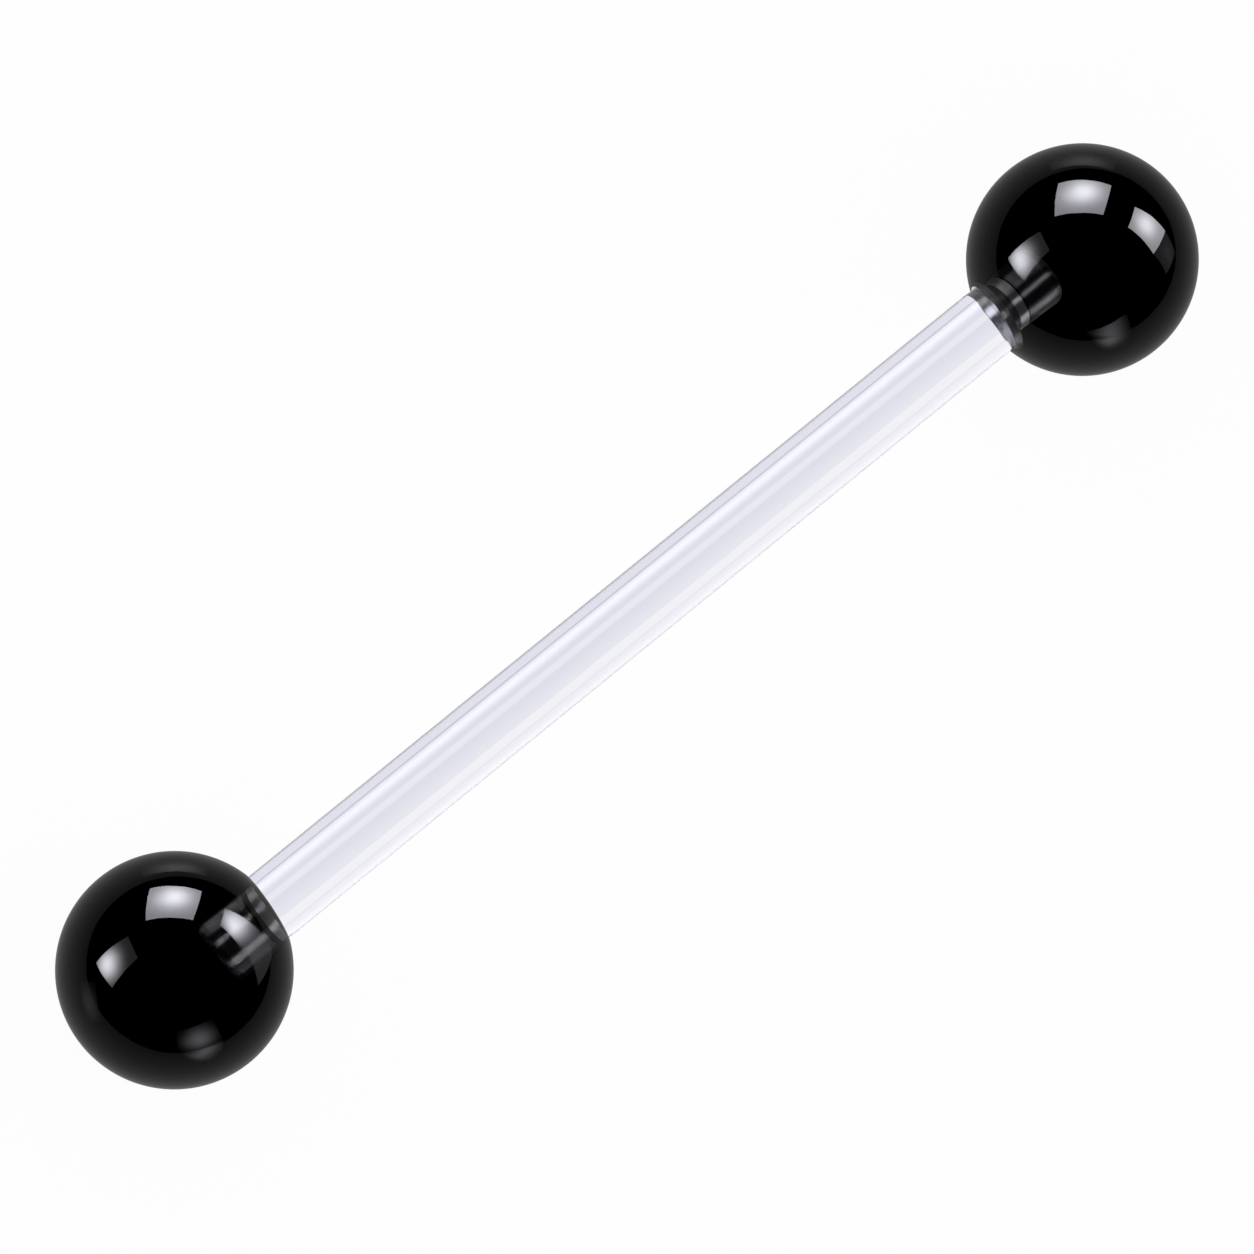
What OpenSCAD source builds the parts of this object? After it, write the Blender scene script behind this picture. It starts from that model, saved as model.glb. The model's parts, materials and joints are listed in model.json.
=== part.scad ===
// Straight piercing retainer: a clear rod with a smooth peg at each end, and a
// dark ball pushed onto each peg. Sizes are in millimetres. The rod lies along X
// and both balls stand on the plane Z = 0.

/* [Bar] */
// Diameter of the clear bar
bar_d = 1.23; // [1:0.01:1.6]
// Gap between the two balls, which is the length that is worn
wear_length = 15.9; // [6:0.1:38]
// Length of the slight taper that centres each end of the bar in its ball
taper_length = 0.39; // [0.35:0.01:0.5]
// How much the bar's radius falls over that taper
taper_drop = 0.02; // [0.01:0.01:0.05]
// Rounding of the edge round each shoulder of the bar
shoulder_round = 0.05; // [0.02:0.01:0.08]

/* [Pegs] */
// Diameter of the smooth peg at each end of the bar
peg_d = 0.74; // [0.6:0.01:0.8]
// Length of each peg, from the bar's shoulder to its tip
peg_length = 1.1; // [0.8:0.05:1.15]
// Rounding of the peg's tip
peg_round = 0.09; // [0.04:0.01:0.15]

/* [Balls] */
// Diameter of each ball
ball_d = 4; // [3.5:0.1:6]
// How far each ball's bore lies to the side of the ball's centre
bore_offset = 0.18; // [0:0.01:0.25]
// Depth from the ball's surface to the floor of the mouth that takes the bar's end
mouth_depth = 0.36; // [0.3:0.01:0.4]
// Depth from the ball's surface to the end of the blind bore
bore_depth = 1.53; // [1.5:0.01:1.7]
// Rounding at the end of the blind bore
bore_round = 0.1; // [0.04:0.01:0.15]

/* [Fit] */
// Gap all round between each peg and its bore
peg_gap = 0.02; // [0.01:0.005:0.04]
// Gap all round between the bar's end and the ball's mouth
mouth_gap = 0.03; // [0.02:0.005:0.05]
// Gap between the bar's shoulder and the floor of the mouth
seat_gap = 0.02; // [0.01:0.005:0.04]

/* [Hidden] */

// Facets on a whole circle, and on each small rounding
$fn = 96;
ROUND_STEPS = 5;

// How far a cutting tool runs on past the surface that it opens
OVERSHOOT = 0.5;

bar_r = bar_d / 2;
peg_r = peg_d / 2;
ball_r = ball_d / 2;
shoulder_r = bar_r - taper_drop;
bore_r = peg_r + peg_gap;
mouth_r = bar_r + mouth_gap;

// Places along the bar, measured from its middle
ball_x = wear_length / 2 + ball_r;
shoulder_x = ball_x - ball_r + mouth_depth - seat_gap;
taper_x = shoulder_x - taper_length;
tip_x = shoulder_x + peg_length;

// Points of a quarter round of radius r about centre, from one angle to another
function quarter(centre, r, from, to) =
    [for (i = [0:ROUND_STEPS])
        let (a = from + (to - from) * i / ROUND_STEPS)
        centre + r * [cos(a), sin(a)]];

// Half outline of the bar as [radius, distance from its middle], shoulder to tip
function bar_end() = concat(
    [[bar_r, taper_x]],
    quarter([shoulder_r - shoulder_round, shoulder_x - shoulder_round], shoulder_round, 0, 90),
    [[peg_r, shoulder_x]],
    quarter([peg_r - peg_round, tip_x - peg_round], peg_round, 0, 90),
    [[0, tip_x]]
);

// The same end turned over, in the order that closes the outline
function mirrored(points) =
    [for (i = [len(points) - 1:-1:0]) [points[i][0], -points[i][1]]];

// Clear rod with its two shoulders and pegs, turned about its own axis
module bar() {
    color("lavender", 0.5)
        translate([0, 0, ball_r])
            rotate([0, 90, 0])
                rotate_extrude()
                    polygon(concat(mirrored(bar_end()), bar_end()));
}

// Space cut from a ball: the mouth for the bar's end, then the blind bore.
// It points along +Z from the ball's middle plane.
module bore_space() {
    bore_end = ball_r - bore_depth;
    mouth_floor = ball_r - mouth_depth;
    outer_end = ball_r + OVERSHOOT;
    rotate_extrude()
        polygon(concat(
            [[0, bore_end]],
            quarter([bore_r - bore_round, bore_end + bore_round], bore_round, -90, 0),
            [[bore_r, mouth_floor], [mouth_r, mouth_floor], [mouth_r, outer_end], [0, outer_end]]
        ));
}

// Ball whose bore opens along +X, with its centre a little to one side of the bore
module ball() {
    color([0.03, 0.03, 0.04])
        difference() {
            translate([0, -bore_offset, 0])
                sphere(r = ball_r);
            rotate([0, 90, 0])
                bore_space();
        }
}

// Ball in its place on the far end of the bar, with its bore towards the bar
module right_ball() {
    translate([ball_x, 0, ball_r])
        rotate([0, 180, 0])
            ball();
}

// The same ball on the other end: the whole retainer is alike turned half round
module left_ball() {
    rotate([0, 0, 180])
        right_ball();
}

bar();
left_ball();
right_ball();
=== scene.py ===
"""Looks of a straight piercing retainer: a clear acrylic bar between two black acrylic balls.

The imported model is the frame. Its three solids are replaced by smooth turned forms of the same
sizes, so that the clear and the black acrylic bend and mirror light as polished plastic does.
"""

import json
import logging
import math
from dataclasses import dataclass, field
from enum import Enum

import bpy
from bpy.types import ID, Collection, Material, Mesh, Node, NodeSocket, NodeTree, Object
from mathutils import Matrix, Vector


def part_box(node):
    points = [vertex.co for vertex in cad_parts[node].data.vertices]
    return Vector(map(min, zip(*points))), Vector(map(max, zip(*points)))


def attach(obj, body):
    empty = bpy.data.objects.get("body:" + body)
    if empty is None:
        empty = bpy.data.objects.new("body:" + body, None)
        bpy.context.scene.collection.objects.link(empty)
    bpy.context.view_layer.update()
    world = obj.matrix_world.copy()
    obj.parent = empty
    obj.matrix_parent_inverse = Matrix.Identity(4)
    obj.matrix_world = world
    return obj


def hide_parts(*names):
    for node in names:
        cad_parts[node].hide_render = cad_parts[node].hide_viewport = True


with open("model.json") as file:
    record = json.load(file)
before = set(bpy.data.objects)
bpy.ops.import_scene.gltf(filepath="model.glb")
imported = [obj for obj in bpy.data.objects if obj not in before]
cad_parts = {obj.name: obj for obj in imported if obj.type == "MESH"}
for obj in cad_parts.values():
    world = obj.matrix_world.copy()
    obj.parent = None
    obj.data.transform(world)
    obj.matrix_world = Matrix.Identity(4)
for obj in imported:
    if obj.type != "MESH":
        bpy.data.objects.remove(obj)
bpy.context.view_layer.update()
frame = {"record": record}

log = logging.getLogger("retainer")

MM = 0.001

# Two measures that go together, such as a place along the axis and a distance from it
Pair = tuple[float, float]

# How far a ball's middle is from the bar's middle, and how far its bore passes to the side of it
BALL_X = 9.95 * MM
BORE_OFFSET = 0.18 * MM

# Facets round each turned form, and the angle past which an edge stays sharp
ROUND_SEGMENTS = 192
SHARP_ANGLE = math.radians(32)
MERGE_DISTANCE = 1e-7

# Mark of a row that isn't on the ball, and the mark from which a whole face counts as bored
OFF_BALL = -1.0
ALL_BORED = 0.9

# Kinds of node that come up often
MATH = "ShaderNodeMath"
WHOLE_MATH = "FunctionNodeIntegerMath"
VECTOR_MATH = "ShaderNodeVectorMath"
JOIN_XYZ = "ShaderNodeCombineXYZ"
NAMED_VALUE = "GeometryNodeInputNamedAttribute"
AT_INDEX = "GeometryNodeSampleIndex"


def linear(hex_colour: str) -> tuple[float, float, float, float]:
    """Turn an sRGB hex colour into the linear values that Blender takes.

    Args:
        hex_colour: The colour as six hex digits, such as "E8E8F4".

    Returns:
        Red, green, blue and an alpha of one.
    """
    channels = [int(hex_colour[i:i + 2], 16) / 255 for i in (0, 2, 4)]
    bent = [c / 12.92 if c <= 0.04045 else ((c + 0.055) / 1.055) ** 2.4 for c in channels]
    return (*bent, 1.0)


WHITE = linear("FFFFFF")


def add_node(tree: NodeTree, kind: str, inputs: dict[str | int, object] | None = None,
             **settings: object) -> Node:
    """Add one node with its settings, values and links.

    Args:
        tree: The node tree that gets the node.
        kind: Blender's name for the kind of node.
        inputs: Socket name or number to a value, to the output socket that feeds it, or to the
            node whose first output in use feeds it.
        **settings: Properties of the node itself.

    Returns:
        The new node.
    """
    node = tree.nodes.new(kind)
    for name, value in settings.items():
        setattr(node, name, value)
    for key, value in (inputs or {}).items():
        if isinstance(value, Node):
            value = next(output for output in value.outputs if output.enabled)
        if isinstance(value, NodeSocket):
            tree.links.new(value, node.inputs[key])
        else:
            node.inputs[key].default_value = value
    return node


def distance_along_x(tree: NodeTree) -> Node:
    """Give a material its distance from the object's middle, along X to either side.

    Args:
        tree: The material's node tree.

    Returns:
        The node that works it out.
    """
    place = add_node(tree, "ShaderNodeTexCoord").outputs["Object"]
    along = add_node(tree, "ShaderNodeSeparateXYZ", {0: place}).outputs["X"]
    return add_node(tree, MATH, {0: along}, operation="ABSOLUTE")


def grain(tree: NodeTree, across: float, along: float) -> Node:
    """Give a material a cloudy pattern with grains of a real size.

    Args:
        tree: The material's node tree.
        across: Size of a grain across the bar's axis.
        along: Size of a grain along it.

    Returns:
        The noise node, whose value runs from zero to one.
    """
    place = add_node(tree, "ShaderNodeTexCoord").outputs["Object"]
    per_metre = (1 / along, 1 / across, 1 / across)
    scaled = add_node(tree, VECTOR_MATH, {0: place, 1: per_metre}, operation="MULTIPLY")
    return add_node(tree, "ShaderNodeTexNoise", {"Vector": scaled, "Scale": 1.0, "Detail": 2.0})


def new_material(name: str) -> tuple[Material, NodeTree]:
    """Make an empty node material.

    Args:
        name: The material's name.

    Returns:
        The material and its cleared node tree.
    """
    material = bpy.data.materials.new(name)
    material.use_nodes = True
    material.node_tree.nodes.clear()
    return material, material.node_tree


def new_object(name: str, data: ID) -> Object:
    """Make an object and link it into the scene.

    Args:
        name: The object's name.
        data: Its mesh, camera or light.

    Returns:
        The object.
    """
    thing = bpy.data.objects.new(name, data)
    bpy.context.scene.collection.objects.link(thing)
    return thing


def add_glow(tree: NodeTree, colour: object, strength: object) -> None:
    """Finish a light's material: it glows, and hides nothing that is behind it.

    Args:
        tree: The material's node tree.
        colour: The glow's colour, or what gives it.
        strength: The glow's strength, or what gives it.
    """
    glow = add_node(tree, "ShaderNodeEmission", {"Color": colour, "Strength": strength})
    clear = add_node(tree, "ShaderNodeBsdfTransparent")
    both = add_node(tree, "ShaderNodeAddShader", {0: glow, 1: clear})
    add_node(tree, "ShaderNodeOutputMaterial", {"Surface": both})


class Side(Enum):
    """The end of the bar that a ball sits on, as the sign of X."""

    LEFT = -1
    RIGHT = 1


@dataclass(frozen=True)
class ClearAcrylic:
    """Clear PMMA rod, drawn and tumble polished: like glass, but faintly lavender.

    Drawing leaves faint lines along the rod, which make the bands behind it waver a little, and
    tumbling leaves it a shade softer in some patches than in others.
    """

    tint: str = "E9E9F5"
    ior: float = 1.49
    roughness: float = 0.0
    haze: float = 0.04
    patch: float = 0.6 * MM
    clear_below: float = 0.35
    hazy_above: float = 0.75
    line_width: float = 0.12 * MM
    line_length: float = 5 * MM
    line_depth: float = 0.0006 * MM

    def material(self) -> Material:
        """Build the clear material.

        Returns:
            The material.
        """
        material, tree = new_material("clear_acrylic_polished")
        softness = add_node(tree, "ShaderNodeMapRange", {
            "Value": grain(tree, self.patch, self.patch),
            "From Min": self.clear_below,
            "From Max": self.hazy_above,
            "To Min": self.roughness,
            "To Max": self.haze,
        })
        lines = grain(tree, self.line_width, self.line_length)
        shader = add_node(tree, "ShaderNodeBsdfPrincipled", {
            "Base Color": linear(self.tint),
            "Transmission Weight": 1.0,
            "IOR": self.ior,
            "Roughness": softness,
            "Normal": add_node(tree, "ShaderNodeBump", {
                "Height": lines, "Distance": self.line_depth,
            }),
        })
        add_node(tree, "ShaderNodeOutputMaterial", {"Surface": shader})
        return material


@dataclass(frozen=True)
class BlackAcrylic:
    """Smoke-black PMMA, moulded and polished: a dark mirror, with the bore dim behind it.

    The plastic clears a little only on the side of the bore, where there is something to see. The
    far side is as black to the eye, so there it swallows all light, which keeps its mirror crisp.
    Polishing by hand leaves broad shallow waves, so that the edges of mirrored windows waver.
    """

    tint: str = "161617"
    black: str = "000000"
    ior: float = 1.49
    roughness: float = 0.0
    clearing: float = 0.15
    wave: float = 0.7 * MM
    wave_depth: float = 0.003 * MM

    def material(self, ball_radius: float) -> Material:
        """Build the black material.

        Args:
            ball_radius: Radius of the ball, which clears over a share of it beside its middle.

        Returns:
            The material.
        """
        material, tree = new_material("black_acrylic_polished")
        clear = add_node(tree, "ShaderNodeMapRange", {
            "Value": distance_along_x(tree),
            "From Min": BALL_X,
            "From Max": BALL_X - self.clearing * ball_radius,
        }, interpolation_type="SMOOTHSTEP")
        colour = add_node(tree, "ShaderNodeMix", {
            "Factor": clear, "A": linear(self.black), "B": linear(self.tint),
        }, data_type="RGBA")
        waves = grain(tree, self.wave, self.wave)
        shader = add_node(tree, "ShaderNodeBsdfPrincipled", {
            "Base Color": colour,
            "Transmission Weight": 1.0,
            "IOR": self.ior,
            "Roughness": self.roughness,
            "Normal": add_node(tree, "ShaderNodeBump", {
                "Height": waves, "Distance": self.wave_depth,
            }),
        })
        add_node(tree, "ShaderNodeOutputMaterial", {"Surface": shader})
        return material


@dataclass(frozen=True)
class PaintedWallRing:
    """A ring of painted highlight or painted shade on the bore's wall, as far as the next one starts.

    Its start is a share of the ball's radius from its middle towards the mouth.
    """

    start: float
    tone: str
    metallic: float = 0.96


@dataclass(frozen=True)
class BoredWall:
    """Drilled and reamed wall of the bore, as the eye meets it from inside the plastic.

    It throws light back like metal, as plastic does to light that meets its own surface at a
    slant from inside, and streaks it lengthwise. Its colour and metallic are painted in paler and
    darker rings, painted highlight and painted shade, listed from the bore's closed end. Each
    ball has rings of its own.
    """

    name: str
    painted_rings: tuple[PaintedWallRing, ...]
    roughness: float = 0.3
    anisotropy: float = 1.0
    anisotropic_turn: float = 0.25

    def _ramp(self, tree: NodeTree, share: Node, colours: list[tuple[float, ...]]) -> Node:
        """Step from one painted ring's colour to the next.

        Args:
            tree: The material's node tree.
            share: Node that gives the share of the ball's radius.
            colours: One colour for each painted ring.

        Returns:
            The colour ramp.
        """
        node = add_node(tree, "ShaderNodeValToRGB", {0: share})
        ramp = node.color_ramp
        ramp.interpolation = "CONSTANT"
        for _ in range(len(self.painted_rings) - len(ramp.elements)):
            ramp.elements.new(1.0)
        for element, painted_ring, colour in zip(ramp.elements, self.painted_rings, colours):
            element.position, element.color = painted_ring.start, colour
        return node

    def material(self, ball_radius: float) -> Material:
        """Build the wall's material.

        Args:
            ball_radius: Radius of the ball.

        Returns:
            The material.
        """
        material, tree = new_material(self.name)
        share = add_node(tree, "ShaderNodeMapRange", {
            "Value": distance_along_x(tree), "From Min": BALL_X, "From Max": BALL_X - ball_radius,
        })
        # Tones and metallic of the rings of painted highlight and painted shade
        tones = [linear(painted_ring.tone) for painted_ring in self.painted_rings]
        metallic = [(*[painted_ring.metallic] * 3, 1.0) for painted_ring in self.painted_rings]
        shader = add_node(tree, "ShaderNodeBsdfPrincipled", {
            "Base Color": self._ramp(tree, share, tones),
            "Metallic": self._ramp(tree, share, metallic),
            "Roughness": self.roughness,
            "Anisotropic": self.anisotropy,
            "Anisotropic Rotation": self.anisotropic_turn,
            "Tangent": add_node(tree, "ShaderNodeTangent", direction_type="RADIAL", axis="X"),
        })
        add_node(tree, "ShaderNodeOutputMaterial", {"Surface": shader})
        return material


# Rings of painted highlight and painted shade on each bore's wall: start, tone and metallic
PAINTED_WALL_RINGS = {
    Side.LEFT: (
        PaintedWallRing(0.0, "040404"),
        PaintedWallRing(0.235, "5C5C5E"),
        PaintedWallRing(0.290, "808083"),
        PaintedWallRing(0.585, "242424"),
        PaintedWallRing(0.640, "C8C8CC", 0.85),
        PaintedWallRing(0.780, "1C1C1C"),
        PaintedWallRing(0.900, "606064"),
    ),
    Side.RIGHT: (
        PaintedWallRing(0.0, "040404"),
        PaintedWallRing(0.235, "5C5C5E"),
        PaintedWallRing(0.290, "808083"),
        PaintedWallRing(0.545, "242424"),
        PaintedWallRing(0.562, "D4D4D8", 0.85),
        PaintedWallRing(0.655, "444446"),
        PaintedWallRing(0.740, "78787C", 0.8),
        PaintedWallRing(0.870, "979799"),
    ),
}


def quarter_round(centre: Pair, radius: float, start: float, end: float, steps: int = 8) -> list[Pair]:
    """Points of a small rounding in a half outline.

    Args:
        centre: Middle of the rounding, as (place along the axis, distance from it).
        radius: Radius of the rounding.
        start: First angle in degrees, from the outward direction towards the axis direction.
        end: Last angle in degrees.
        steps: Number of facets.

    Returns:
        The points in order, as (place along the axis, distance from it).
    """
    angles = [math.radians(start + (end - start) * i / steps) for i in range(steps + 1)]
    return [(centre[0] + radius * math.sin(a), centre[1] + radius * math.cos(a)) for a in angles]


def outline_object(name: str, points: list[Pair], values: dict[str, list[float]] | None = None) -> Object:
    """Make the mesh line that a turning tree reads its half outline from.

    Args:
        name: Name of the object, which the finished piece keeps.
        points: Half outline as (place along the axis, distance from it).
        values: Named values for each point, kept as attributes.

    Returns:
        The object, linked into the scene.
    """
    mesh = bpy.data.meshes.new(name)
    edges = [(i, i + 1) for i in range(len(points) - 1)]
    mesh.from_pydata([(x, r, 0) for x, r in points], edges, [])
    for key, numbers in (values or {}).items():
        mesh.attributes.new(key, "FLOAT", "POINT").data.foreach_set("value", numbers)
    return new_object(name, mesh)


def realise(thing: Object, tree: NodeTree, values: dict[str, object]) -> None:
    """Run a Geometry Nodes tree on an object, and keep the result as its plain mesh.

    Args:
        thing: The object that holds the outline.
        tree: The tree to run.
        values: Input name to value, set by the sockets' identifiers.
    """
    modifier = thing.modifiers.new("turning", "NODES")
    modifier.node_group = tree
    for item in tree.interface.items_tree:
        if item.item_type == "SOCKET" and item.in_out == "INPUT" and item.name in values:
            modifier[item.identifier] = values[item.name]
    evaluated = thing.evaluated_get(bpy.context.evaluated_depsgraph_get())
    mesh = bpy.data.meshes.new_from_object(evaluated)
    thing.modifiers.remove(modifier)
    thing.data = mesh
    mesh.name = thing.name


@dataclass
class TurningTree:
    """Geometry Nodes tree that turns a half outline about the X axis.

    For a ball, rows whose "wrap" is zero or more lie on a ball beside the axis, rows whose "lip"
    is over zero lie on the wall of the mouth cut into it, and "bored" marks the mouth and bore.
    """

    name: str
    for_ball: bool = False
    tree: NodeTree = field(init=False)
    given: Node = field(init=False)
    row: Node = field(init=False)
    cosine: Node = field(init=False)
    sine: Node = field(init=False)

    def __post_init__(self) -> None:
        """Build the tree and its named inputs."""
        self.tree = bpy.data.node_groups.new(self.name, "GeometryNodeTree")
        kinds = {"Geometry": "Geometry", "Segments": "Int", "Finish": "Material"}
        if self.for_ball:
            for name in ("Ball Radius", "Mouth Radius", "Mouth Floor", "Bore Offset"):
                kinds[name] = "Float"
            kinds["Bore Finish"] = "Material"
        sockets = self.tree.interface
        for name, kind in kinds.items():
            sockets.new_socket(name, in_out="INPUT", socket_type=f"NodeSocket{kind}")
        sockets.new_socket("Geometry", in_out="OUTPUT", socket_type="NodeSocketGeometry")
        self._grow()

    def _grow(self) -> None:
        """Lay a grid of outline points by segments, and move each point to its place."""
        tree = self.tree
        self.given = add_node(tree, "NodeGroupInput")
        outline, segments = self.given.outputs["Geometry"], self.given.outputs["Segments"]
        size = add_node(tree, "GeometryNodeAttributeDomainSize", {"Geometry": outline})
        count = size.outputs["Point Count"]
        columns = add_node(tree, WHOLE_MATH, {0: segments, 1: 1}, operation="ADD")
        grid = add_node(tree, "GeometryNodeMeshGrid", {"Vertices X": columns, "Vertices Y": count})
        index = add_node(tree, "GeometryNodeInputIndex")
        self.row = add_node(tree, WHOLE_MATH, {0: index, 1: count}, operation="MODULO")
        column = add_node(tree, WHOLE_MATH, {0: index, 1: count}, operation="DIVIDE_FLOOR")
        part = add_node(tree, MATH, {0: column, 1: segments}, operation="DIVIDE")
        turn = add_node(tree, MATH, {0: part, 1: math.tau}, operation="MULTIPLY")
        self.cosine = add_node(tree, MATH, {0: turn}, operation="COSINE")
        self.sine = add_node(tree, MATH, {0: turn}, operation="SINE")

        place = add_node(tree, AT_INDEX, {
            "Geometry": outline,
            "Index": self.row,
            "Value": add_node(tree, "GeometryNodeInputPosition"),
        }, data_type="FLOAT_VECTOR", domain="POINT")
        point = add_node(tree, "ShaderNodeSeparateXYZ", {0: place}).outputs
        moved = add_node(tree, JOIN_XYZ, {
            "X": point["X"],
            "Y": add_node(tree, MATH, {0: point["Y"], 1: self.cosine}, operation="MULTIPLY"),
            "Z": add_node(tree, MATH, {0: point["Y"], 1: self.sine}, operation="MULTIPLY"),
        })
        if self.for_ball:
            moved = self._on_ball(moved)
            grid = add_node(tree, "GeometryNodeStoreNamedAttribute", {
                "Geometry": grid, "Name": "bored", "Value": self._row_value("bored"),
            }, data_type="FLOAT")
        self._finish(add_node(tree, "GeometryNodeSetPosition", {"Geometry": grid, "Position": moved}))

    def _row_value(self, name: str) -> Node:
        """Give each grid point a named value of its row's point in the outline.

        Args:
            name: The value's name.

        Returns:
            The node that looks it up.
        """
        return add_node(self.tree, AT_INDEX, {
            "Geometry": self.given.outputs["Geometry"],
            "Index": self.row,
            "Value": add_node(self.tree, NAMED_VALUE, {"Name": name}, data_type="FLOAT"),
        }, data_type="FLOAT", domain="POINT")

    def _on_ball(self, turned: Node) -> Node:
        """Move the rows that lie on the ball or on its mouth's wall, and leave the others.

        Args:
            turned: Place of each point as turned about the axis.

        Returns:
            The place of every point.
        """
        tree, given = self.tree, self.given.outputs
        radius, mouth, offset = given["Ball Radius"], given["Mouth Radius"], given["Bore Offset"]
        wrap, lip = self._row_value("wrap"), self._row_value("lip")

        # Where the mouth's wall meets the ball, at each turn about the axis
        side = add_node(tree, MATH, {0: mouth, 1: self.cosine}, operation="MULTIPLY")
        up = add_node(tree, MATH, {0: mouth, 1: self.sine}, operation="MULTIPLY")
        across = add_node(tree, MATH, {0: side, 1: offset}, operation="ADD")
        radius_2, across_2, up_2 = (
            add_node(tree, MATH, {0: length, 1: 2.0}, operation="POWER")
            for length in (radius, across, up)
        )
        off_axis_2 = add_node(tree, MATH, {0: across_2, 1: up_2}, operation="ADD")
        edge_2 = add_node(tree, MATH, {0: radius_2, 1: off_axis_2}, operation="SUBTRACT")
        edge_x = add_node(tree, MATH, {0: edge_2}, operation="SQRT")
        edge = add_node(tree, JOIN_XYZ, {"X": edge_x, "Y": across, "Z": up})

        # The rows on the ball swing from its far pole to that edge
        pole = add_node(tree, JOIN_XYZ, {
            "X": add_node(tree, MATH, {0: radius, 1: -1.0}, operation="MULTIPLY"),
        })
        axis = add_node(tree, VECTOR_MATH, {0: pole, 1: edge}, operation="CROSS_PRODUCT")
        aligned = add_node(tree, VECTOR_MATH, {0: pole, 1: edge}, operation="DOT_PRODUCT")
        cosine = add_node(tree, MATH, {0: aligned, 1: radius_2}, operation="DIVIDE")
        whole = add_node(tree, MATH, {0: cosine}, operation="ARCCOSINE")
        swung = add_node(tree, "ShaderNodeVectorRotate", {
            "Vector": pole,
            "Axis": axis,
            "Angle": add_node(tree, MATH, {0: whole, 1: wrap}, operation="MULTIPLY"),
        }, rotation_type="AXIS_ANGLE")
        shift = add_node(tree, JOIN_XYZ, {"Y": offset})
        outer = add_node(tree, VECTOR_MATH, {0: swung, 1: shift}, operation="SUBTRACT")

        # The rows on the mouth's wall lie a share of the way up to that edge
        floor = given["Mouth Floor"]
        height = add_node(tree, MATH, {0: edge_x, 1: floor}, operation="SUBTRACT")
        climb = add_node(tree, MATH, {0: lip, 1: height}, operation="MULTIPLY")
        wall_x = add_node(tree, MATH, {0: floor, 1: climb}, operation="ADD")
        wall = add_node(tree, JOIN_XYZ, {"X": wall_x, "Y": side, "Z": up})

        on_lip = add_node(tree, MATH, {0: lip, 1: 0.0}, operation="GREATER_THAN")
        inner = add_node(tree, "GeometryNodeSwitch", {
            "Switch": on_lip, "False": turned, "True": wall,
        }, input_type="VECTOR")
        on_ball = add_node(tree, MATH, {0: wrap, 1: OFF_BALL / 2}, operation="GREATER_THAN")
        return add_node(tree, "GeometryNodeSwitch", {
            "Switch": on_ball, "False": inner, "True": outer,
        }, input_type="VECTOR")

    def _finish(self, moved: Node) -> None:
        """Close the seam and poles, shade smooth between sharp edges, and set the finish.

        Args:
            moved: The grid, with its points in their places.
        """
        tree, given = self.tree, self.given.outputs
        merged = add_node(tree, "GeometryNodeMergeByDistance", {
            "Geometry": moved, "Distance": MERGE_DISTANCE,
        })
        smooth = add_node(tree, "GeometryNodeSetShadeSmooth", {
            "Geometry": merged, "Shade Smooth": True,
        })
        bend = add_node(tree, "GeometryNodeInputMeshEdgeAngle").outputs["Unsigned Angle"]
        edged = add_node(tree, "GeometryNodeSetShadeSmooth", {
            "Geometry": smooth,
            "Shade Smooth": add_node(tree, MATH, {0: bend, 1: SHARP_ANGLE}, operation="LESS_THAN"),
        }, domain="EDGE")
        real = add_node(tree, "GeometryNodeRealizeInstances", {"Geometry": edged})
        dressed = add_node(tree, "GeometryNodeSetMaterial", {
            "Geometry": real, "Material": given["Finish"],
        })
        if self.for_ball:
            bored = add_node(tree, NAMED_VALUE, {"Name": "bored"}, data_type="FLOAT")
            dressed = add_node(tree, "GeometryNodeSetMaterial", {
                "Geometry": dressed,
                "Selection": add_node(tree, MATH, {0: bored, 1: ALL_BORED}, operation="GREATER_THAN"),
                "Material": given["Bore Finish"],
            })
        add_node(tree, "NodeGroupOutput", {0: dressed})


@dataclass
class RetainerBar:
    """The clear bar with its two shoulders and pegs, which is one piece.

    Guard rows of points beside an edge keep the smooth shading true up to it.
    """

    finish: ClearAcrylic
    axis_height: float
    radius: float
    straight_half: float
    tip: float
    shoulder_taper: float = 0.39 * MM
    taper_drop: float = 0.02 * MM
    shoulder_round: float = 0.05 * MM
    peg_radius: float = 0.37 * MM
    peg_round: float = 0.09 * MM
    guard: float = 0.02 * MM

    def half_outline(self) -> list[Pair]:
        """Outline one end, from the straight stretch to the peg's tip.

        Returns:
            The points in order, as (place along the axis, distance from it).
        """
        shoulder = self.straight_half + self.shoulder_taper
        shoulder_radius = self.radius - self.taper_drop
        guard_drop = self.taper_drop * self.guard / self.shoulder_taper
        corner = (shoulder - self.shoulder_round, shoulder_radius - self.shoulder_round)
        peg_corner = (self.tip - self.peg_round, self.peg_radius - self.peg_round)
        return [
            (self.straight_half - self.guard, self.radius),
            (self.straight_half, self.radius),
            (self.straight_half + self.guard, self.radius - guard_drop),
            *quarter_round(corner, self.shoulder_round, 0, 90),
            (shoulder, self.peg_radius + self.guard),
            (shoulder, self.peg_radius),
            (shoulder + self.guard, self.peg_radius),
            *quarter_round(peg_corner, self.peg_round, 0, 90),
            (self.tip, self.guard),
            (self.tip, 0.0),
        ]

    def build(self, turning: TurningTree) -> Object:
        """Turn the bar and set it in its place.

        Args:
            turning: The tree that turns a half outline.

        Returns:
            The finished piece, riding on the bar's body.
        """
        end = self.half_outline()
        whole = [(-x, r) for x, r in reversed(end)] + end
        piece = outline_object("clear_bar", whole)
        finish = self.finish.material()
        realise(piece, turning.tree, {"Segments": ROUND_SEGMENTS, "Finish": finish})
        piece.data.transform(Matrix.Translation((0, 0, self.axis_height)))
        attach(piece, "bar")
        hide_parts("bar")
        # The balls would mirror the lit bar as a glare beside their mouths
        piece.visible_glossy = False
        return piece


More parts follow.
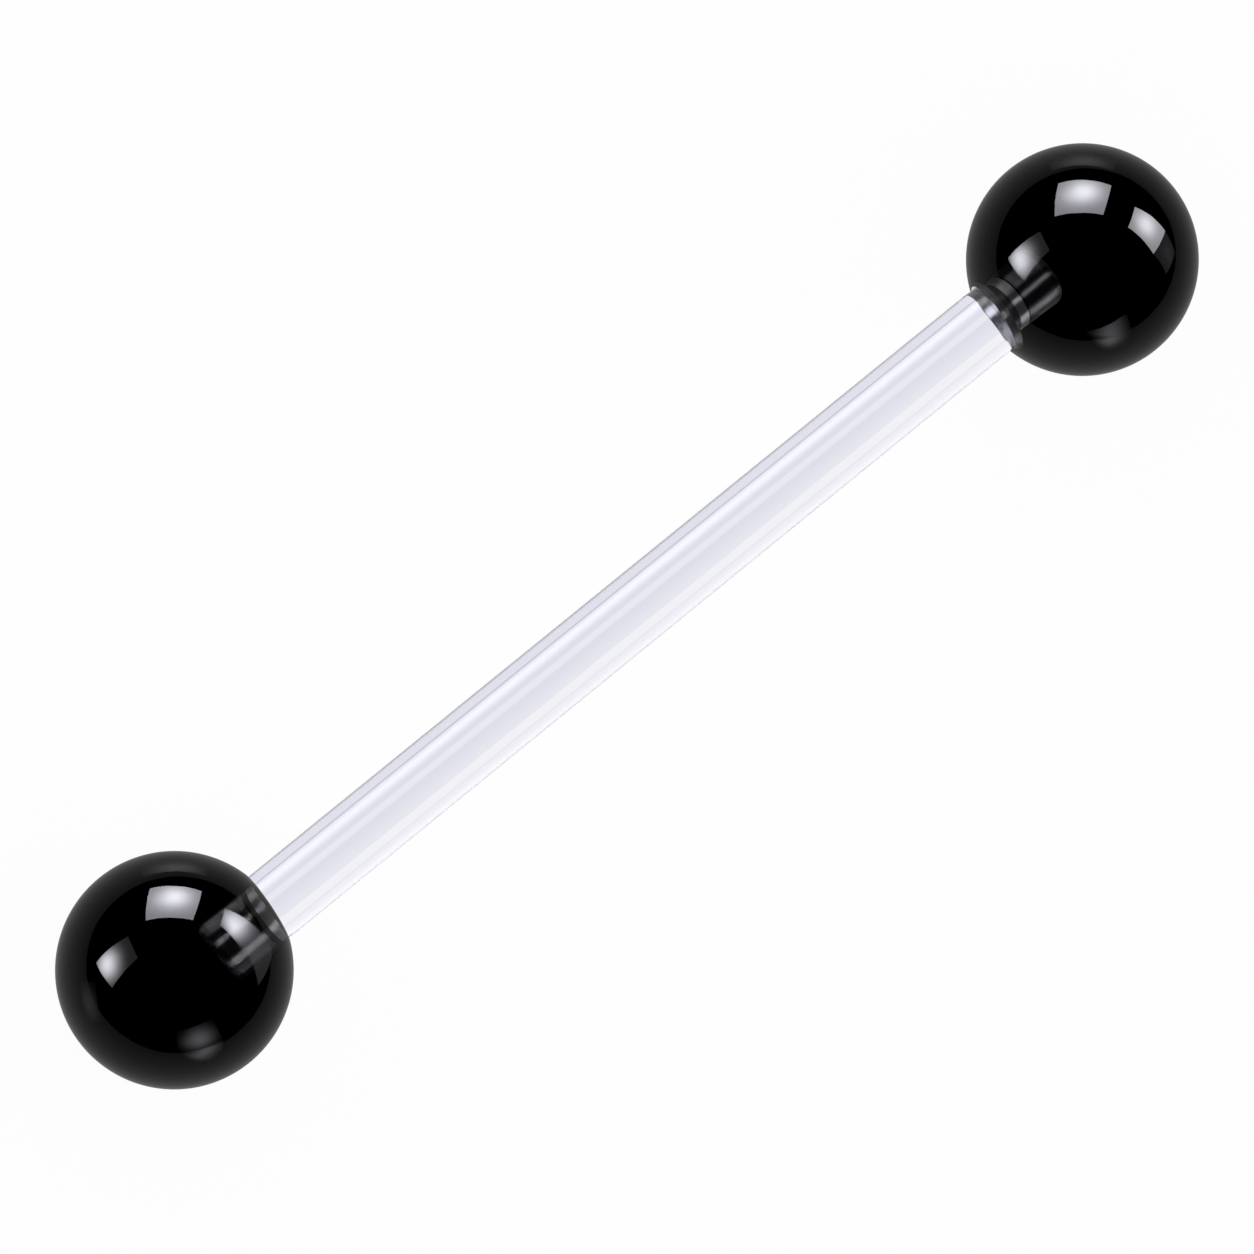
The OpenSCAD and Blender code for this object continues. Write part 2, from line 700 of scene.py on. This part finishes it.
@dataclass
class EndBall:
    """A black ball with the mouth and blind bore that take the bar's end."""

    side: Side
    body: str
    radius: float
    centre_x: float = BALL_X
    bore_offset: float = BORE_OFFSET
    mouth_radius: float = 0.645 * MM
    mouth_depth: float = 0.36 * MM
    bore_radius: float = 0.39 * MM
    bore_depth: float = 1.53 * MM
    bore_round: float = 0.1 * MM
    wrap_rows: int = 110
    wrap_guard: float = 0.012
    lip_guard: float = 0.06

    def rows(self) -> tuple[list[Pair], dict[str, list[float]]]:
        """Rows of the ball from its far pole round to the bore's end.

        Returns:
            The half outline of the bore, and each row's share of the way round the ball ("wrap",
            or below zero off it) and up the mouth's wall ("lip", or zero off it), and whether it
            is in the mouth or the bore ("bored").
        """
        floor = self.radius - self.mouth_depth
        end = self.radius - self.bore_depth
        corner = (end + self.bore_round, self.bore_radius - self.bore_round)
        bore = [
            (floor, self.mouth_radius),
            (floor, self.bore_radius),
            *quarter_round(corner, self.bore_round, 0, -90),
            (end, 0.0),
        ]
        wraps = [(1 - self.wrap_guard) * i / self.wrap_rows for i in range(self.wrap_rows + 1)]
        lips = [1 - self.lip_guard, 0.5, self.lip_guard]
        points = [(0.0, 0.0)] * (len(wraps) + len(lips)) + bore
        return points, {
            "wrap": wraps + [OFF_BALL] * (len(lips) + len(bore)),
            "lip": [0.0] * len(wraps) + lips + [0.0] * len(bore),
            "bored": [0.0] * len(wraps) + [1.0] * (len(lips) + len(bore)),
        }

    def build(self, turning: TurningTree, finish: Material, bore_finish: Material) -> Object:
        """Form the ball and set it in its place.

        Args:
            turning: The tree that turns a half outline and wraps the ball round it.
            finish: The ball's material.
            bore_finish: The material of the bore's wall.

        Returns:
            The finished piece, riding on its own body.
        """
        points, values = self.rows()
        piece = outline_object(f"{self.body}_shell", points, values)
        realise(piece, turning.tree, {
            "Segments": ROUND_SEGMENTS,
            "Ball Radius": self.radius,
            "Mouth Radius": self.mouth_radius,
            "Mouth Floor": self.radius - self.mouth_depth,
            "Bore Offset": -self.bore_offset,
            "Finish": finish,
            "Bore Finish": bore_finish,
        })
        # Formed as the left ball, whose bore opens towards +X: the right one is that, turned round
        piece.data.transform(Matrix.Translation((-self.centre_x, 0, self.radius)))
        if self.side is Side.RIGHT:
            piece.data.transform(Matrix.Rotation(math.pi, 4, "Z"))
        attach(piece, self.body)
        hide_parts(self.body)
        # The black shell would keep the lamps' light off the wall of its own bore
        piece.visible_shadow = False
        return piece


@dataclass(frozen=True)
class SoftBox:
    """A studio window of soft light, placed by where its corners show in a ball.

    Corners are shares of the ball's radius to the right of and above its middle, as the camera
    sees it, from the top left clockwise. The light falls off round its hot spot in a bell curve,
    down to its edge brightness. The hot spot is given in shares of the window's sides from its
    bottom left corner, and the spread as a share of its top side.
    """

    name: str
    corners: tuple[Pair, ...]
    hot: float
    edge: float
    hot_spot: Pair = (0.5, 0.5)
    spread: float = 0.27
    distance: float = 0.2


# Name and corners, then the brightness at the hot spot and the edge, the hot spot and the spread
WINDOWS = {
    Side.LEFT: (
        SoftBox("top", ((-0.204, 0.677), (0.228, 0.653), (0.153, 0.416), (-0.239, 0.412)),
                22.0, 5.5, (0.5, 0.60), 0.31),
        SoftBox("left", ((-0.649, 0.061), (-0.384, 0.281), (-0.302, 0.102), (-0.514, -0.147)),
                18.5, 0.4, (0.25, 0.62), 0.28),
        SoftBox("right", ((0.415, 0.513), (0.376, 0.372), (0.585, 0.110), (0.745, 0.260)),
                18.5, 0.0, (0.47, 0.68), 0.53),
        SoftBox("right_dim", ((0.415, 0.513), (0.376, 0.372), (0.695, -0.130), (0.810, 0.160)),
                0.9, 0.3, (0.5, 0.80), 1.3),
        SoftBox("low", ((0.010, -0.505), (0.310, -0.398), (0.405, -0.580), (0.030, -0.680)),
                1.8, 0.0, (0.52, 0.48), 0.29),
        SoftBox("lowest", ((0.030, -0.680), (0.405, -0.580), (0.385, -0.715), (0.120, -0.775)),
                1.3, 0.0, (0.6, 0.8), 0.26),
        SoftBox("glow_above", ((-0.30, 0.865), (0.30, 0.865), (0.26, 0.775), (-0.26, 0.775)),
                0.6, 0.0, (0.5, 0.2), 0.35),
        SoftBox("glow_left", ((-0.780, -0.080), (-0.650, -0.100), (-0.590, -0.420), (-0.700, -0.440)),
                0.3, 0.0, (0.5, 0.5), 0.45),
    ),
    Side.RIGHT: (
        SoftBox("top", ((-0.204, 0.649), (0.245, 0.632), (0.177, 0.381), (-0.235, 0.367)),
                22.0, 5.5, (0.5, 0.60), 0.31),
        SoftBox("left", ((-0.632, 0.006), (-0.357, 0.241), (-0.275, 0.082), (-0.494, -0.180)),
                18.5, 0.4, (0.27, 0.58), 0.28),
        SoftBox("right", ((0.445, 0.449), (0.388, 0.275), (0.602, 0.051), (0.704, 0.245)),
                18.5, 6.0, (0.42, 0.58), 0.40),
        SoftBox("right_dim", ((0.704, 0.245), (0.602, 0.051), (0.714, -0.122), (0.788, 0.060)),
                0.45, 0.25),
        SoftBox("low", ((0.020, -0.612), (0.375, -0.455), (0.418, -0.600), (0.080, -0.665)),
                1.4, 0.0, (0.55, 0.45), 0.27),
        SoftBox("lowest", ((0.080, -0.665), (0.418, -0.600), (0.388, -0.735), (0.122, -0.775)),
                1.4, 0.0, (0.5, 0.8), 0.26),
        SoftBox("glow_above", ((-0.30, 0.850), (0.30, 0.850), (0.26, 0.755), (-0.26, 0.755)),
                0.6, 0.0, (0.5, 0.2), 0.35),
    ),
}


@dataclass(frozen=True)
class StripLight:
    """A long strip of light beside the bar, placed by where it shows across the bar or a bore.

    The place and the half width are shares of the radius, from the axis to the upper left. The
    strip hangs at a distance from the bar's middle, and some of it may be ahead along X.
    """

    name: str
    place: float
    half_width: float
    brightness: float
    distance: float = 0.3
    length: float = 0.5
    ahead: float = 0.0


# Name, place, half width and brightness
BORE_LAMPS = {
    Side.LEFT: (
        StripLight("upper_streak", 0.27, 0.09, 6.5),
        StripLight("lower_streak", -0.50, 0.11, 8.5),
        StripLight("upper_fill", 0.78, 0.17, 2.4),
        StripLight("lower_fill", -0.78, 0.12, 1.4),
    ),
    Side.RIGHT: (
        StripLight("upper_streak", -0.125, 0.075, 6.5, ahead=0.12),
        StripLight("lower_streak", -0.75, 0.08, 8.5, ahead=0.12),
        StripLight("upper_fill", 0.45, 0.25, 2.2, ahead=0.12),
        StripLight("lower_fill", -0.94, 0.05, 1.4, ahead=0.12),
    ),
}


@dataclass(frozen=True)
class PaleRoom:
    """The dim pale room that a ball mirrors all round, outside a dark oval.

    The oval is placed as it shows in a ball, in shares of its radius from its middle.
    """

    middle: Pair = (0.032, 0.044)
    half_sizes: Pair = (0.766, 0.735)
    at_oval: float = 0.11
    at_limb: float = 0.27
    limb: float = 0.9999
    rings: int = 8
    segments: int = 96
    distance: float = 0.35


@dataclass(frozen=True)
class BarBand:
    """A band of painted light that shows along the clear bar, where it gathers the floor's light.

    The places are shares of the bar's radius, from the axis to the upper left. The levels at
    either place run from 0, as tinted, to 1, as white, and below 0 the band is darker, painted shade.
    """

    start: float
    end: float
    start_level: float
    end_level: float
    softness: float = 0.025

    def level(self, share: float) -> float:
        """Work out this band's level at a place across the bar.

        Args:
            share: The place, as a share of the bar's radius from its axis.

        Returns:
            The level, which is zero outside the band.
        """
        inside = min(share - self.start, self.end - share) / self.softness + 0.5
        weight = max(0.0, min(1.0, inside))
        along = max(0.0, min(1.0, (share - self.start) / (self.end - self.start)))
        return weight * (self.start_level + (self.end_level - self.start_level) * along)


@dataclass
class Studio:
    """Floor, lights and camera: none of it is part of the object.

    The camera is set by the photograph's pixels. What glows is given by its brightness, of which
    one shows as white.
    """

    middle: Vector
    ball_centres: dict[Side, Vector]
    bar_radius: float
    bar_finish: ClearAcrylic
    bar_tilt: float = math.radians(10.4)
    bar_slope: float = math.radians(39.11)
    camera_distance: float = 146 * MM
    focal_pixels: float = 8599.0
    frame_pixels: int = 1254
    left_ball_pixel: Pair = (174.5, 970.5)
    right_ball_pixel: Pair = (1082.3, 259.3)
    aiming_rounds: int = 3
    sensor: float = 36.0
    nearest: float = 0.005
    farthest: float = 10.0
    strip: StripLight = StripLight("strip_on_bar", 0.545, 0.19, 5.0, length=0.8)
    window_colour: str = "F6F6FF"
    floor_half: float = 1.5
    floor_white: float = 1.0
    floor_shade: float = 0.05
    seen_share: float = 0.98
    band_step: float = 0.01
    mirrored_floor: float = 0.5
    walls: float = 0.95
    ceiling: float = 2.0
    ceiling_height: float = 0.5
    room: PaleRoom = PaleRoom()
    bands: tuple[BarBand, ...] = (
        BarBand(0.08, 0.26, 0.33, 0.33),  # pale band beside the axis
        BarBand(-0.42, 0.0, 0.29, 0.0),  # slow rise to the lower side
        BarBand(-0.67, -0.43, 0.62, 0.62),  # bright band on the lower side
        BarBand(-0.95, -0.68, 0.62, 0.34),  # rise to the lower edge
        BarBand(0.70, 0.73, -0.34, -0.34),  # painted dark line on the upper side
        BarBand(-1.0, -0.96, 0.3, 0.5),  # lower edge
        BarBand(0.94, 1.0, -0.2, -0.4),  # painted shade along the upper edge
    )
    all_bounces: int = 24
    mirror_bounces: int = 16
    right: Vector = field(init=False)
    up: Vector = field(init=False)
    back: Vector = field(init=False)
    eye: Vector = field(init=False)
    lit_bar: Collection = field(init=False)
    lit_ball: dict[Side, Collection] = field(init=False)

    def __post_init__(self) -> None:
        """Work out the camera's own axes in the frame, and who each light falls on."""
        along = Vector((math.cos(self.bar_tilt), 0, math.sin(self.bar_tilt)))
        across = Vector((0, 1, 0))
        c, s = math.cos(self.bar_slope), math.sin(self.bar_slope)
        self.right = c * along - s * across
        self.up = s * along + c * across
        self.back = Vector((-math.sin(self.bar_tilt), 0, math.cos(self.bar_tilt)))
        self.lit_bar = bpy.data.collections.new("lit_bar")
        self.lit_ball = {
            side: bpy.data.collections.new(f"lit_{side.name.lower()}_ball") for side in Side
        }

    def _off_pixel(self, point: Vector, target: Vector, pixel: Pair) -> Pair:
        """How far a point lands from its place in the photograph.

        Args:
            point: The point in the frame.
            target: What the camera is aimed at.
            pixel: Where the photograph has the point, from its top left corner.

        Returns:
            The distance to the right of and above its place, in pixels.
        """
        away = point - target
        depth = self.camera_distance - away.dot(self.back)
        right = self.frame_pixels / 2 + self.focal_pixels * away.dot(self.right) / depth
        down = self.frame_pixels / 2 - self.focal_pixels * away.dot(self.up) / depth
        return right - pixel[0], pixel[1] - down

    def add_camera(self) -> None:
        """Set the camera so that both balls land where the photograph has them."""
        target = self.middle.copy()
        pixel = self.camera_distance / self.focal_pixels
        for _ in range(self.aiming_rounds):
            left = self._off_pixel(self.ball_centres[Side.LEFT], target, self.left_ball_pixel)
            right = self._off_pixel(self.ball_centres[Side.RIGHT], target, self.right_ball_pixel)
            target += self.right * (left[0] + right[0]) / 2 * pixel
            target += self.up * (left[1] + right[1]) / 2 * pixel
        log.info("balls land %.1f, %.1f and %.1f, %.1f pixels off the photo", *left, *right)
        self.eye = target + self.back * self.camera_distance
        data = bpy.data.cameras.new("camera")
        data.sensor_width = self.sensor
        data.lens = self.sensor * self.focal_pixels / self.frame_pixels
        data.clip_start = self.nearest
        data.clip_end = self.farthest
        camera = new_object("camera", data)
        turn = Matrix((self.right, self.up, self.back)).transposed().to_4x4()
        camera.matrix_world = Matrix.Translation(self.eye) @ turn
        bpy.context.scene.camera = camera

    def hang(self, material: Material, points: list[Vector], faces: list[tuple[int, ...]],
             seen_by: set[str], lit: Collection | None = None) -> Mesh:
        """Put a mesh in the studio, beside the object and not part of it.

        Args:
            material: What it is made of, and named after.
            points: Places of its points.
            faces: Its faces, as numbers of points.
            seen_by: The kinds of ray that meet it.
            lit: The pieces that its light falls on, or None for all.

        Returns:
            The mesh.
        """
        mesh = bpy.data.meshes.new(material.name)
        mesh.from_pydata(points, [], faces)
        mesh.materials.append(material)
        thing = new_object(material.name, mesh)
        for ray in ("camera", "diffuse", "glossy", "transmission", "shadow"):
            setattr(thing, f"visible_{ray}", ray in seen_by)
        if lit:
            thing.light_linking.receiver_collection = lit
        return mesh

    def hang_sheet(self, material: Material, corners: list[Vector], seen_by: set[str],
                   lit: Collection | None = None) -> None:
        """Hang one flat sheet in the studio.

        Args:
            material: What it is made of, and named after.
            corners: Its four corners, from the top left clockwise.
            seen_by: The kinds of ray that meet it.
            lit: The pieces that its light falls on, or None for all.
        """
        mesh = self.hang(material, corners, [(0, 1, 2, 3)], seen_by, lit)
        uv = mesh.uv_layers.new(name="face")
        for loop, place in zip(uv.data, ((0, 1), (1, 1), (1, 0), (0, 0))):
            loop.uv = place

    def hang_lit(self, name: str, points: list[Vector], faces: list[tuple[int, ...]],
                 lights: list[tuple[float, ...]], seen_by: set[str], lit: Collection) -> None:
        """Hang a mesh whose points each carry their own light.

        Args:
            name: The mesh's name.
            points: Places of its points.
            faces: Its faces, as numbers of points.
            lights: Red, green and blue at each point.
            seen_by: The kinds of ray that meet it.
            lit: The pieces that its light falls on.
        """
        material, tree = new_material(name)
        light = add_node(tree, "ShaderNodeAttribute", attribute_name="light").outputs["Color"]
        add_glow(tree, light, 1.0)
        mesh = self.hang(material, points, faces, seen_by, lit)
        colours = [channel for light in lights for channel in (*light, 1.0)]
        mesh.attributes.new("light", "FLOAT_COLOR", "POINT").data.foreach_set("color", colours)

    def _mirrored(self, side: Side, x: float, y: float, distance: float) -> Vector:
        """Find what a ball mirrors at a place in its face.

        Args:
            side: Which ball.
            x: How far the place is to the right of the ball's middle, in shares of its radius.
            y: How far it is above.
            distance: How far the mirrored thing is from the ball.

        Returns:
            The place of the mirrored thing.
        """
        centre = self.ball_centres[side]
        view = (self.eye - centre).normalized()
        right = (self.right - view * self.right.dot(view)).normalized()
        up = view.cross(right)
        z = math.sqrt(1 - x * x - y * y)
        return centre + (right * 2 * z * x + up * 2 * z * y + view * (2 * z * z - 1)) * distance

    def add_window(self, side: Side, window: SoftBox) -> None:
        """Hang one soft box that only one ball mirrors.

        Args:
            side: Which ball.
            window: The soft box's place, shape and light.
        """
        name = f"window_{side.name.lower()}_{window.name}"
        corners = [self._mirrored(side, x, y, window.distance) for x, y in window.corners]
        top, left = corners[1] - corners[0], corners[3] - corners[0]
        spread = (window.spread, window.spread * top.length / left.length, 1)
        hot_spot = (*window.hot_spot, 0)
        material, tree = new_material(name)
        face = add_node(tree, "ShaderNodeUVMap", uv_map="face")
        off_spot = add_node(tree, VECTOR_MATH, {0: face, 1: hot_spot}, operation="SUBTRACT")
        scaled = add_node(tree, VECTOR_MATH, {0: off_spot, 1: spread}, operation="DIVIDE")
        square = add_node(tree, VECTOR_MATH, {0: scaled, 1: scaled}, operation="DOT_PRODUCT")
        fall = add_node(tree, MATH, {0: square, 1: -1.0}, operation="MULTIPLY")
        bell = add_node(tree, MATH, {0: fall}, operation="EXPONENT")
        strength = add_node(tree, MATH, {
            0: bell, 1: window.hot - window.edge, 2: window.edge,
        }, operation="MULTIPLY_ADD")
        add_glow(tree, linear(self.window_colour), strength)
        self.hang_sheet(material, corners, {"glossy"}, self.lit_ball[side])

    def add_strip(self) -> None:
        """Hang the strip light that only the bar mirrors, with soft long edges."""
        strip = self.strip
        middles = []
        for share in (strip.place + strip.half_width, strip.place - strip.half_width):
            lean = 2 * math.asin(share)
            away = Vector((0, math.sin(lean), math.cos(lean))) * strip.distance
            middles.append(self.middle + away)
        half = Vector((strip.length / 2, 0, 0))
        corners = [middles[0] - half, middles[0] + half, middles[1] + half, middles[1] - half]
        material, tree = new_material(strip.name)
        face = add_node(tree, "ShaderNodeUVMap", uv_map="face")
        across = add_node(tree, "ShaderNodeSeparateXYZ", {0: face}).outputs["Y"]
        off_middle = add_node(tree, MATH, {0: across, 1: 0.5}, operation="SUBTRACT")
        off_middle = add_node(tree, MATH, {0: off_middle}, operation="ABSOLUTE")
        strength = add_node(tree, "ShaderNodeMapRange", {
            "Value": off_middle,
            "From Min": 0.0,
            "From Max": 0.5,
            "To Min": strip.brightness,
            "To Max": 0.0,
        }, interpolation_type="SMOOTHSTEP")
        add_glow(tree, WHITE, strength)
        self.hang_sheet(material, corners, {"glossy"}, self.lit_bar)

    def add_bore_lamp(self, side: Side, strip: StripLight) -> None:
        """Hang a strip lamp for the wall of one ball's bore.

        The ball casts no shadow, so the lamp's light comes straight in through the black plastic.

        Args:
            side: Which ball.
            strip: The lamp's place and size.
        """
        high, low = (math.asin(strip.place + sign * strip.half_width) for sign in (1, -1))
        away = Vector((0, math.sin(high + low), math.cos(high + low)))
        along = Vector((1, 0, 0))
        data = bpy.data.lights.new(strip.name, "AREA")
        data.shape = "RECTANGLE"
        data.size = strip.length
        data.size_y = 2 * strip.distance * math.tan(high - low)
        # The power that gives a face of this size its brightness
        data.energy = strip.brightness * math.pi * data.size * data.size_y
        # The smooth shell mirrors the windows alone, and not the lamps
        data.cycles.use_multiple_importance_sampling = False
        lamp = new_object(f"{side.name.lower()}_bore_{strip.name}", data)
        turn = Matrix((along, away.cross(along), away)).transposed().to_4x4()
        place = self.middle + away * strip.distance + along * strip.ahead
        lamp.matrix_world = Matrix.Translation(place) @ turn
        lamp.light_linking.receiver_collection = self.lit_ball[side]
        lamp.light_linking.blocker_collection = self.lit_ball[side]

    def _floor_corners(self) -> list[Vector]:
        """Corners of a floor that reaches well past the object."""
        signs = ((-1, 1), (1, 1), (1, -1), (-1, -1))
        return [Vector((x * self.floor_half, y * self.floor_half, 0)) for x, y in signs]

    def add_floor(self) -> None:
        """Lay the plain white floor, which glows a little as a lit table does."""
        material, tree = new_material("floor")
        glow = add_node(tree, "ShaderNodeEmission", {
            "Strength": self.floor_white - self.floor_shade,
        })
        matt = add_node(tree, "ShaderNodeBsdfDiffuse", {"Color": (*[self.floor_shade] * 3, 1)})
        lit = add_node(tree, "ShaderNodeAddShader", {0: glow, 1: matt})
        add_node(tree, "ShaderNodeOutputMaterial", {"Surface": lit})
        self.hang_sheet(material, self._floor_corners(), {"camera", "diffuse", "shadow"})

    def add_mirrored_floor(self) -> None:
        """Lay the floor as the bar mirrors it: as dim as a floor in a dark studio."""
        material, tree = new_material("floor_in_mirror")
        add_glow(tree, WHITE, self.mirrored_floor)
        self.hang_sheet(material, self._floor_corners(), {"glossy"}, self.lit_bar)

    def add_walls(self) -> None:
        """Put up the pale walls and ceiling that the clear bar shows where it bends light most."""
        low = self._floor_corners()
        high = [corner + Vector((0, 0, self.ceiling_height)) for corner in low]
        faces = [(i, (i + 1) % 4, (i + 1) % 4 + 4, i + 4) for i in range(4)] + [(4, 5, 6, 7)]
        lights = [(self.walls,) * 3] * 4 + [(self.ceiling,) * 3] * 4
        self.hang_lit("walls_through_bar", low + high, faces, lights, {"transmission"}, self.lit_bar)

    def add_room(self, side: Side) -> None:
        """Hang the bowl of dim light that one ball mirrors round its rim.

        Args:
            side: Which ball.
        """
        room = self.room
        points, lights, faces = [], [], []
        for i in range(room.rings + 1):
            out = i / room.rings
            for j in range(room.segments):
                turn = math.tau * j / room.segments
                c, s = math.cos(turn), math.sin(turn)
                x = (1 - out) * (room.middle[0] + room.half_sizes[0] * c) + out * room.limb * c
                y = (1 - out) * (room.middle[1] + room.half_sizes[1] * s) + out * room.limb * s
                points.append(self._mirrored(side, x, y, room.distance))
                lights.append((room.at_oval + (room.at_limb - room.at_oval) * out,) * 3)
        for i in range(room.rings):
            for j in range(room.segments):
                first = i * room.segments + j
                after = i * room.segments + (j + 1) % room.segments
                faces.append((first, after, after + room.segments, first + room.segments))
        faces.append(tuple(range(room.rings * room.segments, (room.rings + 1) * room.segments)))
        name = f"room_in_{side.name.lower()}_ball"
        self.hang_lit(name, points, faces, lights, {"glossy"}, self.lit_ball[side])

    def _seen_through(self, share: float) -> float:
        """Place on the floor, across the bar, that shows through the bar.

        Args:
            share: Where the sight line meets the bar, as a share of its radius from its axis.

        Returns:
            The floor's Y there.
        """
        tilt = self.bar_tilt
        ior = math.sqrt(self.bar_finish.ior ** 2 - math.sin(tilt) ** 2) / math.cos(tilt)
        met = math.asin(share)
        inside = math.asin(math.sin(met) / ior)
        leaves = 2 * inside - met
        across = self.bar_radius * math.sin(leaves)
        height = self.middle.z - self.bar_radius * math.cos(leaves)
        return across - height * math.tan(2 * (met - inside))

    def _light_through(self, share: float) -> tuple[float, ...]:
        """Light that the floor has to send up for the look of the bar at a place across it.

        Args:
            share: Where the sight line meets the bar, as a share of its radius from its axis.

        Returns:
            Red, green and blue, made up for the tint and for what the two surfaces mirror.
        """
        ior = self.bar_finish.ior
        met = math.asin(share)
        inside = math.asin(share / ior)
        across = math.cos(met) - ior * math.cos(inside)
        across /= math.cos(met) + ior * math.cos(inside)
        along = ior * math.cos(met) - math.cos(inside)
        along /= ior * math.cos(met) + math.cos(inside)
        mirrored = (across ** 2 + along ** 2) / 2
        head_on = ((ior - 1) / (ior + 1)) ** 2
        level = sum(band.level(share) for band in self.bands)
        light = []
        for tint in linear(self.bar_finish.tint)[:3]:
            plain = self.floor_white * tint * (1 - head_on) ** 2
            seen = plain + level * (1 - plain) if level > 0 else plain * (1 + level)
            seen -= mirrored * self.mirrored_floor
            light.append(seen / (tint * (1 - mirrored) ** 2))
        return tuple(light)

    def add_floor_through_bar(self) -> None:
        """Lay the floor as it shows through the bar, glowing with the light that the bar gathers, in
        painted bands of light and shade.

        Each row of the sheet lies where one place across the bar shows it, and carries its light.
        """
        steps = round(self.seen_share / self.band_step)
        shares = [i * self.band_step for i in range(steps, -steps - 1, -1)]
        rows = [(self._seen_through(share), self._light_through(share)) for share in shares]
        rows = [(-self.floor_half, rows[0][1]), *rows, (self.floor_half, rows[-1][1])]
        points, lights = [], []
        for y, light in rows:
            points += [Vector((-self.floor_half, y, 0)), Vector((self.floor_half, y, 0))]
            lights += [light, light]
        faces = [(2 * i, 2 * i + 1, 2 * i + 3, 2 * i + 2) for i in range(len(rows) - 1)]
        self.hang_lit("floor_through_bar", points, faces, lights, {"transmission"}, self.lit_bar)

    def add_world(self) -> None:
        """Surround the scene with even white light that the plastic doesn't mirror or let through."""
        world = bpy.data.worlds.new("studio")
        world.use_nodes = True
        tree = world.node_tree
        tree.nodes.clear()
        bright = add_node(tree, "ShaderNodeBackground", {"Strength": 1.0})
        add_node(tree, "ShaderNodeOutputWorld", {"Surface": bright})
        bpy.context.scene.world = world
        world.cycles_visibility.glossy = False
        world.cycles_visibility.transmission = False

    def build(self) -> None:
        """Make the whole studio."""
        self.add_camera()
        self.add_floor()
        self.add_mirrored_floor()
        self.add_walls()
        self.add_floor_through_bar()
        self.add_strip()
        self.add_world()
        for side in Side:
            self.add_room(side)
            for window in WINDOWS[side]:
                self.add_window(side, window)
            for lamp in BORE_LAMPS[side]:
                self.add_bore_lamp(side, lamp)
        scene = bpy.context.scene
        scene.view_settings.view_transform = "Standard"
        scene.cycles.max_bounces = self.all_bounces
        scene.cycles.glossy_bounces = self.mirror_bounces
        scene.cycles.transmission_bounces = self.mirror_bounces


def main() -> None:
    """Build the studio and the three pieces, in order."""
    logging.basicConfig(level=logging.INFO, format="%(name)s: %(message)s")
    mount = frame["record"]["mounts"][0]
    low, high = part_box("left_ball")
    _, bar_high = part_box("bar")
    ball_radius = (high.z - low.z) / 2
    bar = RetainerBar(
        finish=ClearAcrylic(),
        axis_height=mount["pos_m"][2],
        radius=mount["dims"]["r_mm"] * MM,
        straight_half=mount["dims"]["length_mm"] * MM / 2,
        tip=bar_high.x,
    )
    centres = {
        side: Vector((side.value * BALL_X, -side.value * BORE_OFFSET, ball_radius)) for side in Side
    }
    studio = Studio(Vector((0, 0, ball_radius)), centres, bar.radius, bar.finish)
    studio.build()
    log.info("studio ready")

    piece = bar.build(TurningTree("turned_bar"))
    studio.lit_bar.objects.link(piece)
    log.info("%s: %d faces", piece.name, len(piece.data.polygons))

    turning = TurningTree("bored_ball", for_ball=True)
    black = BlackAcrylic().material(ball_radius)
    for side, body in ((Side.LEFT, "left_ball"), (Side.RIGHT, "right_ball")):
        wall = BoredWall(f"black_acrylic_bored_{side.name.lower()}", PAINTED_WALL_RINGS[side])
        ball = EndBall(side, body, ball_radius)
        piece = ball.build(turning, black, wall.material(ball_radius))
        studio.lit_ball[side].objects.link(piece)
        log.info("%s: %d faces", piece.name, len(piece.data.polygons))


if __name__ == "__main__":
    main()
